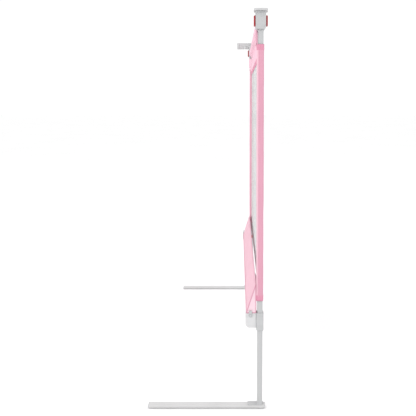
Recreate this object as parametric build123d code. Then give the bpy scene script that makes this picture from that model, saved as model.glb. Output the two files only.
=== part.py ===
"""Clip-under toddler bed rail: two posts on flat feet, a drop-down mesh panel and a mattress-side skirt.

Millimetres. +Z is up, +Y runs along the rail, and the feet run to -X, under the mattress.
The origin is on the floor, at the middle of the overall length and depth.
Every "near" piece is drawn at the -Y end and mirrored to give its "far" twin.
"""
from build123d import *
import os

# ---- driving dimensions -------------------------------------------------------------
POST_SPACING = 860.0        # post centre to post centre
POST_X = 112.2              # post centre line
POST_WIDTH = 11.4           # post, across the rail
POST_DEPTH = 16.0           # post, along the rail
POST_WALL = 1.2
POST_CORNER = 3.0
POST_TOP = 834.9
POST_FOOT = 9.0

FOOT_START = -126.4         # inner end of a foot
FOOT_END = 123.6            # outer end of a foot
FOOT_WIDTH = 18.0
FOOT_TOP = 7.5
PAD_THICKNESS = 0.6
FOOT_WALL = 1.2
FOOT_CORNER = 2.6
PLUG_FLANGE = 2.0
PLUG_TONGUE = 12.0
PLUG_CLEARANCE = 0.1

TUBE_RADIUS = 9.0           # top and lower rail tubes
TUBE_WALL = 1.0
TOP_TUBE_Z = 812.4
TOP_TUBE_END = 412.8
LOWER_TUBE_X = 93.2
LOWER_TUBE_Z = 192.7
LOWER_TUBE_END = 431.5
SOCKET_CLEARANCE = 0.05

SLIDE_CLEARANCE = 0.3       # slider to post, on every side
HOUSING_WIDTH = 21.0
HOUSING_BOTTOM = 799.0
HOUSING_TOP = 834.6
HOUSING_OUTER_Y = 13.0      # from the post's centre towards the end of the rail
HOUSING_INNER_Y = 35.0      # from the post's centre towards the middle of the rail
HOUSING_CORNER = 2.0
HOUSING_CHAMFER = 3.6
CAVITY_WIDTH = 18.4
CAVITY_DEPTH = 21.6
CAVITY_BOTTOM = 806.5
CAVITY_TOP = 823.6

BUTTON_REACH = 14.2         # post centre to a squeeze button's outer face
BUTTON_BACK = 10.8
BUTTON_WIDTH = 13.6
BUTTON_BOTTOM = 805.0
BUTTON_TOP = 826.0
WINDOW_GAP = 0.4
YOKE_HEIGHT = 3.2
YOKE_WALL = 1.5
BED_YOKE_Z = 809.0
ROOM_YOKE_Z = 821.0
LEAF_THICKNESS = 0.25

CAP_WIDTH = 28.0
CAP_DEPTH = 40.0
CAP_TOP = 839.3
CAP_CORNER = 6.0

LINK_CLEAR_RADIUS = 24.9    # the corner link's deep part stays outside this, so that it swings past the cap
LINK_TIP_X = 67.0
LINK_BOTTOM = 830.3
LINK_TOP = 850.6
LINK_THICKNESS = 7.0
LINK_HUB_RADIUS = 8.5
LINK_EYE_RADIUS = 2.6
LINK_PIN_RADIUS = 2.0
EAR_LEFT = 88.6
EAR_WIDTH = 8.0

COLLAR_WIDTH = 15.4
COLLAR_WALL = 2.0
COLLAR_BOTTOM = 171.6
COLLAR_TOP = 209.6
LOCK_Z = 190.6
LOCK_BOSS_Y = 19.0          # post centre to the boss's face
LOCK_HEAD_RADIUS = 4.4
LOCK_HEAD_LENGTH = 3.3
LOCK_SHAFT_RADIUS = 3.0
LOCK_TRAVEL = 3.0
LOCK_BORE_RADIUS = 4.8
SPRING_WIRE = 0.6

BRACKET_LEFT = 81.8
BRACKET_BOTTOM = 177.0
BRACKET_TOP = 208.5
BRACKET_FACE_Y = 436.0
BRACKET_INNER_Y = 404.0

CLIP_X = 92.4
CLIP_WIDTH = 6.4
CLIP_TOP = 214.7
CLIP_BOTTOM = 200.5

SLEEVE_LEFT = 104.4
SLEEVE_RIGHT = 119.2
SLEEVE_BOTTOM = 236.2
SLEEVE_TOP = 769.0
SLEEVE_HALF_DEPTH = 9.3
CLOTH_GAP = 0.4             # cloth to a post that slides past it

PANEL_X = 111.1             # middle of the mesh and the bands
BAND_THICKNESS = 1.6
MESH_THICKNESS = 1.0
BAND_WIDTH = 40.0
HEM_HEIGHT = 8.0
TOP_BAND_BOTTOM = 743.0
TUNNEL_RADIUS = 9.9
FLAP_END = 437.0            # the band's flaps lie against the posts' bed-side faces
SEAM_GAP = 0.3

SKIRT_TOP = 270.0
SKIRT_RIGHT = 103.9
SKIRT_LEFT = 83.3
SKIRT_END = 434.0
SAG_START = 350.0           # from here to its far end the skirt hangs lower and narrower
SAG_TOP = 254.0
SAG_LEFT = 90.0
TAB_LENGTH = 120.0
TAB_THICKNESS = 1.0

TOP_DROP = 400.0            # how far the top rail slides down
LOWER_DROP = 120.0          # how far the lower rail slides down
TOP_STEPS = 3
LOWER_STEPS = 3

NEAR_Y = -POST_SPACING / 2
FAR_Y = POST_SPACING / 2

BASE_SCREW_Z = 35.0
HOUSING_SCREW_X = 7.6       # each side of the post's centre
HOUSING_SCREWS = ((1, 804.2), (-1, 829.0))
TUBE_SCREW_Y = NEAR_Y + 26.0
BRACKET_SCREW_Y = -414.0
CLIP_SCREW_Z = 204.6


# ---- helpers ------------------------------------------------------------------------
def block(x0, x1, y0, y1, z0, z1):
    """A box between two corners."""
    box = Box(x1 - x0, y1 - y0, z1 - z0)
    return Pos((x0 + x1) / 2, (y0 + y1) / 2, (z0 + z1) / 2) * box


def rod(start, end, radius):
    """A round bar between two points."""
    axis = Vector(*end) - Vector(*start)
    plane = Plane(origin=start, z_dir=axis.normalized())
    return extrude(plane * Circle(radius), amount=axis.length)


def rounded_bar(x, y, z0, z1, width, depth, corner):
    """An upright bar with a rounded rectangular section."""
    section = Plane.XY.offset(z0) * Pos(x, y) * RectangleRounded(width, depth, corner)
    return extrude(section, amount=z1 - z0)


def flat_bar(x0, x1, y, z0, z1, width, corner):
    """A level bar along X with a rounded rectangular section."""
    plane = Plane(origin=(x0, y, (z0 + z1) / 2), x_dir=(0, 1, 0), z_dir=(1, 0, 0))
    return extrude(plane * RectangleRounded(width, z1 - z0, corner), amount=x1 - x0)


def prism_y(outline, y0, y1):
    """A straight prism along Y from an outline of (x, z) points."""
    wire = Polyline(*[(x, y0, z) for x, z in outline], close=True)
    return extrude(make_face(wire), amount=y1 - y0, dir=(0, 1, 0))


def far(shape):
    """The far twin of a near piece."""
    return mirror(shape, about=Plane.XZ)


def write(name, *solids):
    """One STEP file for one node, with one or more separate solids."""
    shape = solids[0] if len(solids) == 1 else Compound(children=list(solids))
    export_step(shape, f"parts/{name}.step")


def write_pair(name, near_piece):
    write(f"near_{name}", near_piece)
    write(f"far_{name}", far(near_piece))


# ---- feet and posts -----------------------------------------------------------------
def foot_tube():
    """Flattened steel tube that lies between mattress and base."""
    x0 = FOOT_START + PLUG_FLANGE
    x1 = FOOT_END - PLUG_FLANGE
    outer = flat_bar(x0, x1, NEAR_Y, PAD_THICKNESS, FOOT_TOP, FOOT_WIDTH, FOOT_CORNER)
    inner = flat_bar(x0, x1, NEAR_Y, PAD_THICKNESS + FOOT_WALL, FOOT_TOP - FOOT_WALL,
                     FOOT_WIDTH - 2 * FOOT_WALL, FOOT_CORNER - FOOT_WALL)
    return outer - inner


def foot_plug(outward):
    """Moulded plug in one end of a foot; outward is -1 for the inner end and +1 for the outer."""
    end = FOOT_START if outward < 0 else FOOT_END
    face = end - outward * PLUG_FLANGE
    tip = face - outward * PLUG_TONGUE
    flange = flat_bar(min(end, face), max(end, face), NEAR_Y, PAD_THICKNESS, FOOT_TOP,
                      FOOT_WIDTH, FOOT_CORNER)
    inset = FOOT_WALL + PLUG_CLEARANCE
    tongue = flat_bar(min(face, tip), max(face, tip), NEAR_Y, PAD_THICKNESS + inset, FOOT_TOP - inset,
                      FOOT_WIDTH - 2 * inset, FOOT_CORNER - inset)
    rim = flange.edges().filter_by_position(Axis.X, end - 0.01, end + 0.01)
    return fillet(rim, 0.8) + tongue


def foot_pads():
    """Thin rubber grip pads, two under each foot."""
    half = FOOT_WIDTH / 2 - 3.0
    pads = []
    for y in (NEAR_Y, FAR_Y):
        for x0, x1 in ((FOOT_START + 4, FOOT_START + 64), (FOOT_END - 62, FOOT_END - 2.5)):
            pads.append(block(x0, x1, y - half, y + half, 0, PAD_THICKNESS))
    return pads


def post_stub():
    """Plate welded on the foot, with the stub that the post plugs over."""
    plate = rounded_bar(POST_X - 9, NEAR_Y, FOOT_TOP, POST_FOOT, 34, POST_DEPTH, 4)
    inner_width = POST_WIDTH - 2 * POST_WALL - 2 * PLUG_CLEARANCE
    inner_depth = POST_DEPTH - 2 * POST_WALL - 2 * PLUG_CLEARANCE
    stub = rounded_bar(POST_X, NEAR_Y, POST_FOOT, 60, inner_width, inner_depth, 1.5)
    thread = rod((POST_X, NEAR_Y, BASE_SCREW_Z), (POST_X + POST_WIDTH, NEAR_Y, BASE_SCREW_Z), 2.0)
    return plate + stub - thread


def post():
    """Steel post with lock holes for the squeeze buttons and for the collar."""
    outer = rounded_bar(POST_X, NEAR_Y, POST_FOOT, POST_TOP, POST_WIDTH, POST_DEPTH, POST_CORNER)
    inner = rounded_bar(POST_X, NEAR_Y, POST_FOOT, POST_TOP, POST_WIDTH - 2 * POST_WALL,
                        POST_DEPTH - 2 * POST_WALL, POST_CORNER - POST_WALL)
    tube = outer - inner
    for step in range(TOP_STEPS + 1):
        drop = TOP_DROP * step / TOP_STEPS
        room_hole = (POST_X + 3, NEAR_Y, BED_YOKE_Z - drop)
        bed_hole = (POST_X - 3, NEAR_Y, ROOM_YOKE_Z - drop)
        tube -= rod(room_hole, (POST_X + POST_WIDTH, NEAR_Y, room_hole[2]), 1.8)
        tube -= rod(bed_hole, (POST_X - POST_WIDTH, NEAR_Y, bed_hole[2]), 1.8)
    for step in range(LOWER_STEPS + 1):
        z = LOCK_Z - LOWER_DROP * step / LOWER_STEPS
        tube -= rod((POST_X, NEAR_Y, z), (POST_X, NEAR_Y + POST_DEPTH, z), 3.2)
    tube -= rod((POST_X, NEAR_Y, BASE_SCREW_Z), (POST_X + POST_WIDTH, NEAR_Y, BASE_SCREW_Z), 3.0)
    return tube


def base_screw():
    """Flush screw that holds the post on its stub."""
    face = POST_X + POST_WIDTH / 2
    head = rod((face - POST_WALL, NEAR_Y, BASE_SCREW_Z), (face - 0.1, NEAR_Y, BASE_SCREW_Z), 2.9)
    shaft = rod((POST_X + 0.5, NEAR_Y, BASE_SCREW_Z), (face - POST_WALL, NEAR_Y, BASE_SCREW_Z), 1.9)
    socket = rod((face - 1.0, NEAR_Y, BASE_SCREW_Z), (face, NEAR_Y, BASE_SCREW_Z), 1.3)
    return head + shaft - socket


def post_cap():
    """Wide, thin end cap that plugs into the post's top and stops the housing."""
    plate = rounded_bar(POST_X, NEAR_Y, POST_TOP, CAP_TOP, CAP_WIDTH, CAP_DEPTH, CAP_CORNER)
    plate = fillet(plate.faces().sort_by(Axis.Z)[-1].edges(), 1.2)
    inset = POST_WALL + PLUG_CLEARANCE
    plug = rounded_bar(POST_X, NEAR_Y, POST_TOP - 14, POST_TOP, POST_WIDTH - 2 * inset,
                       POST_DEPTH - 2 * inset, 1.5)
    return plate + plug


def linked_cap():
    """The far cap, with the hole for the link's pin and the tongue that the link rests beside."""
    left = POST_X - CAP_WIDTH / 2
    half = EAR_WIDTH / 2
    tongue = block(EAR_LEFT + half, left + 3, FAR_Y - half, FAR_Y + half, LINK_BOTTOM, CAP_TOP - 0.4)
    tongue += rod((EAR_LEFT + half, FAR_Y, LINK_BOTTOM), (EAR_LEFT + half, FAR_Y, CAP_TOP - 0.4), half)
    hole = rod((POST_X, FAR_Y, POST_TOP - 8), (POST_X, FAR_Y, CAP_TOP + 1), LINK_PIN_RADIUS)
    return far(post_cap()) + tongue - hole


# ---- corner link --------------------------------------------------------------------
def corner_link():
    """Swivel arm over the far cap, deep outside it, with an upright eye that takes the next rail's peg."""
    half = LINK_THICKNESS / 2
    low = CAP_TOP + 0.3
    arm = block(LINK_TIP_X, POST_X, FAR_Y - half, FAR_Y + half, low, LINK_TOP)
    arm += block(LINK_TIP_X, POST_X - LINK_CLEAR_RADIUS, FAR_Y - half, FAR_Y + half, LINK_BOTTOM, LINK_TOP)
    arm += rod((POST_X, FAR_Y, low), (POST_X, FAR_Y, LINK_TOP), LINK_HUB_RADIUS)
    arm += rod((LINK_TIP_X, FAR_Y, LINK_BOTTOM), (LINK_TIP_X, FAR_Y, LINK_TOP), 5.0)
    arm -= rod((POST_X, FAR_Y, low - 1), (POST_X, FAR_Y, LINK_TOP + 1), LINK_PIN_RADIUS + 0.05)
    arm -= rod((POST_X, FAR_Y, LINK_TOP - 1.5), (POST_X, FAR_Y, LINK_TOP + 1), 4.4)
    return arm - rod((LINK_TIP_X, FAR_Y, LINK_BOTTOM - 1), (LINK_TIP_X, FAR_Y, LINK_TOP + 1), LINK_EYE_RADIUS)


def link_pin():
    """Headed pin, pressed into the far cap, that the link turns on; its head is sunk in the hub."""
    shaft = rod((POST_X, FAR_Y, POST_TOP - 7.5), (POST_X, FAR_Y, LINK_TOP - 1.2), LINK_PIN_RADIUS)
    head = rod((POST_X, FAR_Y, LINK_TOP - 1.2), (POST_X, FAR_Y, LINK_TOP), 4.0)
    return shaft + fillet(head.faces().sort_by(Axis.Z)[-1].edges(), 0.5)


# ---- top rail -----------------------------------------------------------------------
def housing():
    """Whole slider housing, before it is split into its two shells."""
    y0 = NEAR_Y - HOUSING_OUTER_Y
    y1 = NEAR_Y + HOUSING_INNER_Y
    half = HOUSING_WIDTH / 2
    left = POST_X - half
    right = POST_X + half
    shoulder = HOUSING_BOTTOM + HOUSING_CHAMFER * 1.2
    body = prism_y([(left, shoulder), (left + HOUSING_CHAMFER, HOUSING_BOTTOM),
                    (right - HOUSING_CHAMFER, HOUSING_BOTTOM), (right, shoulder),
                    (right, HOUSING_TOP), (left, HOUSING_TOP)], y0, y1)
    body = fillet(body.edges().filter_by(Axis.Z), HOUSING_CORNER)
    body -= rounded_bar(POST_X, NEAR_Y, HOUSING_BOTTOM - 1, HOUSING_TOP + 1,
                        POST_WIDTH + 2 * SLIDE_CLEARANCE, POST_DEPTH + 2 * SLIDE_CLEARANCE, POST_CORNER)
    body -= block(POST_X - CAVITY_WIDTH / 2, POST_X + CAVITY_WIDTH / 2, NEAR_Y - CAVITY_DEPTH / 2,
                  NEAR_Y + CAVITY_DEPTH / 2, CAVITY_BOTTOM, CAVITY_TOP)
    window = BUTTON_WIDTH / 2 + WINDOW_GAP
    body -= block(POST_X - half - 1, POST_X + half + 1, NEAR_Y - window, NEAR_Y + window,
                  BUTTON_BOTTOM - WINDOW_GAP, CAVITY_TOP)
    for side in (-1, 1):
        inner = POST_X + side * CAVITY_WIDTH / 2
        outer = POST_X + side * (half + 1)
        body -= block(min(inner, outer), max(inner, outer), NEAR_Y - window, NEAR_Y + window,
                      CAVITY_TOP - 1, BUTTON_TOP + WINDOW_GAP)
    socket = TUBE_RADIUS + SOCKET_CLEARANCE
    body -= rod((POST_X, -TOP_TUBE_END - 0.1, TOP_TUBE_Z), (POST_X, y1 + 1, TOP_TUBE_Z), socket)
    for side, z in HOUSING_SCREWS:
        x = POST_X + side * HOUSING_SCREW_X
        body -= rod((x, y0 - 1, z), (x, y0 + 1.2, z), 1.9)
        body -= rod((x, y0, z), (x, NEAR_Y + 8, z), 1.1)
    body -= rod((POST_X, TUBE_SCREW_Y, HOUSING_BOTTOM - 1), (POST_X, TUBE_SCREW_Y, TOP_TUBE_Z), 1.5)
    body -= rod((POST_X, TUBE_SCREW_Y, HOUSING_BOTTOM - 1), (POST_X, TUBE_SCREW_Y, HOUSING_BOTTOM + 1.4), 2.8)
    return body


def split_housing():
    """The housing's outer and inner shells, which meet on the post's centre plane."""
    whole = housing()
    outer = whole & block(0, 200, NEAR_Y - 50, NEAR_Y, 700, 900)
    inner = whole & block(0, 200, NEAR_Y, NEAR_Y + 60, 700, 900)
    return outer, inner


def housing_screws():
    """Two screws that close one housing."""
    y0 = NEAR_Y - HOUSING_OUTER_Y
    screws = []
    for side, z in HOUSING_SCREWS:
        x = POST_X + side * HOUSING_SCREW_X
        head = rod((x, y0 + 0.2, z), (x, y0 + 1.2, z), 1.8)
        slot = block(x - 1.4, x + 1.4, y0, y0 + 0.7, z - 0.3, z + 0.3)
        cross = block(x - 0.3, x + 0.3, y0, y0 + 0.7, z - 1.4, z + 1.4)
        shaft = rod((x, y0 + 1.2, z), (x, NEAR_Y + 6, z), 1.05)
        screws.append(head + shaft - slot - cross)
    return screws


def tube_screw(y, tube_x, tube_z, head_z):
    """Screw from below, through the socket and the tube's wall."""
    head = rod((tube_x, y, head_z + 0.3), (tube_x, y, head_z + 1.4), 2.7)
    shaft = rod((tube_x, y, head_z + 1.4), (tube_x, y, tube_z - TUBE_RADIUS + 3), 1.45)
    socket = rod((tube_x, y, head_z), (tube_x, y, head_z + 1.0), 1.2)
    return head + shaft - socket


def rail_tube(x, z, end, screw_y):
    """A round steel tube along the rail, with a screw hole near each end."""
    bore = rod((x, -end, z), (x, end, z), TUBE_RADIUS - TUBE_WALL)
    tube = rod((x, -end, z), (x, end, z), TUBE_RADIUS) - bore
    for y in (screw_y, -screw_y):
        tube -= rod((x, y, z - TUBE_RADIUS - 1), (x, y, z), 1.5)
    return tube


def squeeze_button(side, yoke_z):
    """Red button with a stem and a yoke round the post; its far bar carries the lock nose."""
    def span(a, b):
        return sorted((POST_X + side * a, POST_X + side * b))

    half = BUTTON_WIDTH / 2
    z0 = yoke_z - YOKE_HEIGHT / 2
    z1 = yoke_z + YOKE_HEIGHT / 2
    pad_x = span(BUTTON_BACK, BUTTON_REACH)
    pad = block(*pad_x, NEAR_Y - half, NEAR_Y + half, BUTTON_BOTTOM, BUTTON_TOP)
    face = pad.faces().sort_by(Axis.X)[0 if side < 0 else -1]
    pad = fillet(face.edges(), 1.6)
    stem = block(*span(7.6, BUTTON_BACK), NEAR_Y - 5, NEAR_Y + 5, z0, z1)
    near_bar = 9.0
    far_bar = -7.4
    outer_y = 10.2
    inner_y = POST_DEPTH / 2 + 0.6
    frame_x = span(near_bar, far_bar)
    hole_x = span(near_bar - YOKE_WALL, far_bar + YOKE_WALL - 0.1)
    ring = block(*frame_x, NEAR_Y - outer_y, NEAR_Y + outer_y, z0, z1)
    ring -= block(*hole_x, NEAR_Y - inner_y, NEAR_Y + inner_y, z0 - 1, z1 + 1)
    return pad + stem + ring


def leaf_spring(side, yoke_z):
    """Thin return spring between a yoke's far bar and the housing wall, drawn pressed flat."""
    wall = -side * CAVITY_WIDTH / 2
    inner = wall + side * LEAF_THICKNESS
    x0, x1 = sorted((POST_X + wall, POST_X + inner))
    half = YOKE_HEIGHT / 2
    return block(x0, x1, NEAR_Y - 9, NEAR_Y + 9, yoke_z - half, yoke_z + half)


def top_band():
    """Cloth tunnel round the top tube, the solid band that hangs from it, and its flaps beside the posts."""
    end = POST_SPACING / 2 - HOUSING_INNER_Y - SEAM_GAP
    web_end = POST_SPACING / 2 - SLEEVE_HALF_DEPTH - SEAM_GAP
    centre_start = (POST_X, -end, TOP_TUBE_Z)
    centre_end = (POST_X, end, TOP_TUBE_Z)
    tunnel = rod(centre_start, centre_end, TUNNEL_RADIUS)
    half = BAND_THICKNESS / 2
    web_top = HOUSING_BOTTOM - 1.0
    web = block(PANEL_X - half, PANEL_X + half, -web_end, web_end, TOP_BAND_BOTTOM, web_top)
    neck = block(PANEL_X - half, PANEL_X + half, -end, end, web_top, TOP_TUBE_Z - TUBE_RADIUS)
    band = tunnel + neck + web
    flap_bottom = SLEEVE_TOP + 0.5
    flap_start = web_end - BAND_THICKNESS
    for side in (-1, 1):
        turn = sorted((side * flap_start, side * web_end))
        reach = sorted((side * flap_start, side * FLAP_END))
        band += block(SLEEVE_LEFT, PANEL_X, *turn, flap_bottom, web_top)
        band += block(SLEEVE_LEFT, SLEEVE_LEFT + BAND_THICKNESS, *reach, flap_bottom, web_top)
    return band - rod(centre_start, centre_end, TUBE_RADIUS + 0.05)


# ---- lower rail ---------------------------------------------------------------------
def collar():
    """Slider on the post that carries the lower rail, with a boss for its lock button."""
    half = COLLAR_WIDTH / 2
    half_y = POST_DEPTH / 2 + SLIDE_CLEARANCE + COLLAR_WALL
    body = block(POST_X - half, POST_X + half, NEAR_Y - half_y, NEAR_Y + half_y, COLLAR_BOTTOM, COLLAR_TOP)
    body = fillet(body.edges().filter_by(Axis.Z), 3.0)
    rim = body.faces().sort_by(Axis.Z)[0].edges()
    body = chamfer(rim, 1.5)
    boss = block(POST_X - half, POST_X + half, NEAR_Y, NEAR_Y + LOCK_BOSS_Y, LOCK_Z - 9, LOCK_Z + 9)
    boss = fillet(boss.edges().filter_by(Axis.Y), 2.5)
    body += boss
    body -= rounded_bar(POST_X, NEAR_Y, COLLAR_BOTTOM - 1, COLLAR_TOP + 1,
                        POST_WIDTH + 2 * SLIDE_CLEARANCE, POST_DEPTH + 2 * SLIDE_CLEARANCE, POST_CORNER)
    face = NEAR_Y + LOCK_BOSS_Y
    body -= rod((POST_X, face - 5, LOCK_Z), (POST_X, face + 1, LOCK_Z), LOCK_BORE_RADIUS)
    body -= rod((POST_X, NEAR_Y, LOCK_Z), (POST_X, face, LOCK_Z), LOCK_SHAFT_RADIUS + 0.1)
    return body


def lock_button():
    """Red push button on the collar, with the pin that locks in the post."""
    back = NEAR_Y + LOCK_BOSS_Y + LOCK_TRAVEL + 0.2
    tip = NEAR_Y + POST_DEPTH / 2 + LOCK_TRAVEL + 0.6
    head = rod((POST_X, back, LOCK_Z), (POST_X, back + LOCK_HEAD_LENGTH, LOCK_Z), LOCK_HEAD_RADIUS)
    head = fillet(head.faces().sort_by(Axis.Y)[-1].edges(), 1.2)
    shaft = rod((POST_X, tip, LOCK_Z), (POST_X, back, LOCK_Z), LOCK_SHAFT_RADIUS)
    return head + shaft


def lock_spring():
    """Coil round the lock pin, drawn at its pressed length inside the boss."""
    mean_radius = (LOCK_SHAFT_RADIUS + LOCK_BORE_RADIUS) / 2
    pitch = 1.0
    turns = 4
    path = Helix(pitch=pitch, height=pitch * turns, radius=mean_radius)
    start = Plane(origin=path @ 0, z_dir=path % 0)
    coil = sweep(start * Circle(SPRING_WIRE / 2), path=path, is_frenet=True)
    coil = Rot(-90, 0, 0) * coil
    return Pos(POST_X, NEAR_Y + LOCK_BOSS_Y - 4.6, LOCK_Z) * coil


def bar_bracket():
    """Moulded cup on the collar that holds the lower tube's end."""
    right = POST_X - COLLAR_WIDTH / 2
    body = block(BRACKET_LEFT, right, -BRACKET_FACE_Y, -BRACKET_INNER_Y, BRACKET_BOTTOM, BRACKET_TOP)
    long_edges = body.edges().filter_by(Axis.Y).sort_by(Axis.X)[:2].sort_by(Axis.Z)
    body = fillet(long_edges[0], 8.5)
    top_edge = body.edges().filter_by(Axis.Y).sort_by(Axis.Z)[-2:].sort_by(Axis.X)[0]
    body = fillet(top_edge, 6.0)
    body = fillet(body.faces().sort_by(Axis.Y)[0].edges(), 1.0)
    body -= rod((LOWER_TUBE_X, -LOWER_TUBE_END - 0.1, LOWER_TUBE_Z),
                (LOWER_TUBE_X, -BRACKET_INNER_Y + 1, LOWER_TUBE_Z), TUBE_RADIUS + SOCKET_CLEARANCE)
    body -= rod((LOWER_TUBE_X, BRACKET_SCREW_Y, BRACKET_BOTTOM - 1),
                (LOWER_TUBE_X, BRACKET_SCREW_Y, LOWER_TUBE_Z), 1.5)
    body -= rod((LOWER_TUBE_X, BRACKET_SCREW_Y, BRACKET_BOTTOM - 1),
                (LOWER_TUBE_X, BRACKET_SCREW_Y, BRACKET_BOTTOM + 1.4), 2.8)
    body -= rod((CLIP_X, -BRACKET_FACE_Y - 1, CLIP_SCREW_Z), (CLIP_X, -BRACKET_FACE_Y + 3, CLIP_SCREW_Z), 1.0)
    return body


def skirt_clip():
    """Small plate on the bracket's face that holds the hem of the skirt's gusset."""
    half = CLIP_WIDTH / 2
    y0 = -BRACKET_FACE_Y - 1.8
    plate = block(CLIP_X - half, CLIP_X + half, y0, -BRACKET_FACE_Y, CLIP_BOTTOM, CLIP_TOP)
    plate = fillet(plate.edges().filter_by(Axis.Y), 2.2)
    return plate - rod((CLIP_X, y0 - 1, CLIP_SCREW_Z), (CLIP_X, -BRACKET_FACE_Y + 1, CLIP_SCREW_Z), 1.0)


def clip_screw():
    y0 = -BRACKET_FACE_Y - 1.8
    head = rod((CLIP_X, y0 - 1.2, CLIP_SCREW_Z), (CLIP_X, y0, CLIP_SCREW_Z), 2.1)
    shaft = rod((CLIP_X, y0, CLIP_SCREW_Z), (CLIP_X, -BRACKET_FACE_Y + 2.6, CLIP_SCREW_Z), 0.95)
    slot = block(CLIP_X - 1.5, CLIP_X + 1.5, y0 - 1.3, y0 - 0.7, CLIP_SCREW_Z - 0.3, CLIP_SCREW_Z + 0.3)
    return head + shaft - slot


def skirt_section(y, left, top):
    """Cross-section of the skirt's wedge at y, above the lower tube."""
    bottom = BRACKET_TOP + 0.5
    corners = [(left, bottom), (SKIRT_RIGHT, bottom), (SKIRT_RIGHT, top - 2), (SKIRT_RIGHT - 2, top)]
    return make_face(Polyline([(x, y, z) for x, z in corners], close=True))


def lower_skirt():
    """Padded-looking wedge of cloth on the mattress side, wrapped round the lower tube."""
    near_end = skirt_section(-SKIRT_END, SKIRT_LEFT + 0.5, SKIRT_TOP)
    sag_start = skirt_section(SAG_START, SKIRT_LEFT + 0.5, SKIRT_TOP)
    far_end = skirt_section(SKIRT_END, SAG_LEFT, SAG_TOP)
    wedge = loft([near_end, sag_start], ruled=True) + loft([sag_start, far_end], ruled=True)
    start = (LOWER_TUBE_X, -BRACKET_INNER_Y + 0.5, LOWER_TUBE_Z)
    end = (LOWER_TUBE_X, BRACKET_INNER_Y - 0.5, LOWER_TUBE_Z)
    wrap_radius = LOWER_TUBE_X - SKIRT_LEFT
    wrap = rod(start, end, wrap_radius)
    wrap += block(SKIRT_LEFT, LOWER_TUBE_X + wrap_radius, start[1], end[1], LOWER_TUBE_Z, BRACKET_TOP + 0.5)
    return wedge + wrap - rod(start, end, TUBE_RADIUS + 0.1)


def skirt_tab(y0):
    """Strip of cloth that joins the skirt's top edge to the panel's lower edge, from y0 onwards."""
    left = SKIRT_RIGHT + 0.2
    right = PANEL_X - BAND_THICKNESS / 2 - 0.2
    outline = [(left, 262.0), (right, 246.0), (right, 246.0 + TAB_THICKNESS), (left, 262.0 + TAB_THICKNESS)]
    return prism_y(outline, y0, y0 + TAB_LENGTH)


# ---- drop-down cloth panel ----------------------------------------------------------
def post_sleeve():
    """Cloth sleeve round the post."""
    middle = (SLEEVE_LEFT + SLEEVE_RIGHT) / 2
    outer = rounded_bar(middle, NEAR_Y, SLEEVE_BOTTOM, SLEEVE_TOP, SLEEVE_RIGHT - SLEEVE_LEFT,
                        2 * SLEEVE_HALF_DEPTH, 3.6)
    inner = rounded_bar(POST_X, NEAR_Y, SLEEVE_BOTTOM, SLEEVE_TOP, POST_WIDTH + 2 * CLOTH_GAP,
                        POST_DEPTH + 2 * CLOTH_GAP, POST_CORNER)
    return outer - inner


def side_band():
    """Solid cloth between the sleeve and the mesh."""
    half = BAND_THICKNESS / 2
    y0 = NEAR_Y + SLEEVE_HALF_DEPTH
    top = TOP_BAND_BOTTOM - SEAM_GAP
    return block(PANEL_X - half, PANEL_X + half, y0, y0 + BAND_WIDTH, SLEEVE_BOTTOM, top)


def mesh_span():
    """Half the mesh window's length."""
    return POST_SPACING / 2 - SLEEVE_HALF_DEPTH - BAND_WIDTH


def mesh_panel():
    """Mesh window."""
    half = MESH_THICKNESS / 2
    end = mesh_span()
    return block(PANEL_X - half, PANEL_X + half, -end, end, SLEEVE_BOTTOM + HEM_HEIGHT,
                 TOP_BAND_BOTTOM - SEAM_GAP)


def mesh_hem():
    """Light binding along the mesh's lower edge."""
    half = BAND_THICKNESS / 2
    end = mesh_span()
    return block(PANEL_X - half, PANEL_X + half, -end, end, SLEEVE_BOTTOM, SLEEVE_BOTTOM + HEM_HEIGHT)


def main():
    os.makedirs("parts", exist_ok=True)

    write_pair("foot", foot_tube())
    write_pair("foot_plug", foot_plug(-1))
    write_pair("heel_plug", foot_plug(1))
    write("foot_pads", *foot_pads())
    write_pair("post_stub", post_stub())
    write_pair("post", post())
    write("base_screws", base_screw(), far(base_screw()))
    write("near_post_cap", post_cap())
    write("far_post_cap", linked_cap())

    write("corner_link", corner_link())
    write("link_pin", link_pin())

    outer, inner = split_housing()
    write_pair("housing_outer", outer)
    write_pair("housing_inner", inner)
    screws = housing_screws()
    write("housing_screws", *screws, *[far(screw) for screw in screws])
    write("top_tube", rail_tube(POST_X, TOP_TUBE_Z, TOP_TUBE_END, TUBE_SCREW_Y))
    top_screw = tube_screw(TUBE_SCREW_Y, POST_X, TOP_TUBE_Z, HOUSING_BOTTOM)
    write("top_tube_screws", top_screw, far(top_screw))
    write("top_band", top_band())
    write_pair("bed_side_button", squeeze_button(-1, BED_YOKE_Z))
    write_pair("room_side_button", squeeze_button(1, ROOM_YOKE_Z))
    leaves = [leaf_spring(-1, BED_YOKE_Z), leaf_spring(1, ROOM_YOKE_Z)]
    write("button_springs", *leaves, *[far(leaf) for leaf in leaves])

    write_pair("collar", collar())
    write_pair("lock_button", lock_button())
    write("lock_springs", lock_spring(), far(lock_spring()))
    write_pair("bar_bracket", bar_bracket())
    write("lower_tube", rail_tube(LOWER_TUBE_X, LOWER_TUBE_Z, LOWER_TUBE_END, BRACKET_SCREW_Y))
    low_screw = tube_screw(BRACKET_SCREW_Y, LOWER_TUBE_X, LOWER_TUBE_Z, BRACKET_BOTTOM)
    write("lower_tube_screws", low_screw, far(low_screw))
    write("skirt_clips", skirt_clip(), far(skirt_clip()))
    write("clip_screws", clip_screw(), far(clip_screw()))
    write("lower_skirt", lower_skirt())
    near_tab_start = NEAR_Y + SLEEVE_HALF_DEPTH + 1
    write("skirt_tabs", skirt_tab(near_tab_start), skirt_tab(SAG_START - TAB_LENGTH))

    write_pair("post_sleeve", post_sleeve())
    write_pair("side_band", side_band())
    write("mesh_panel", mesh_panel())
    write("mesh_hem", mesh_hem())


main()
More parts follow.
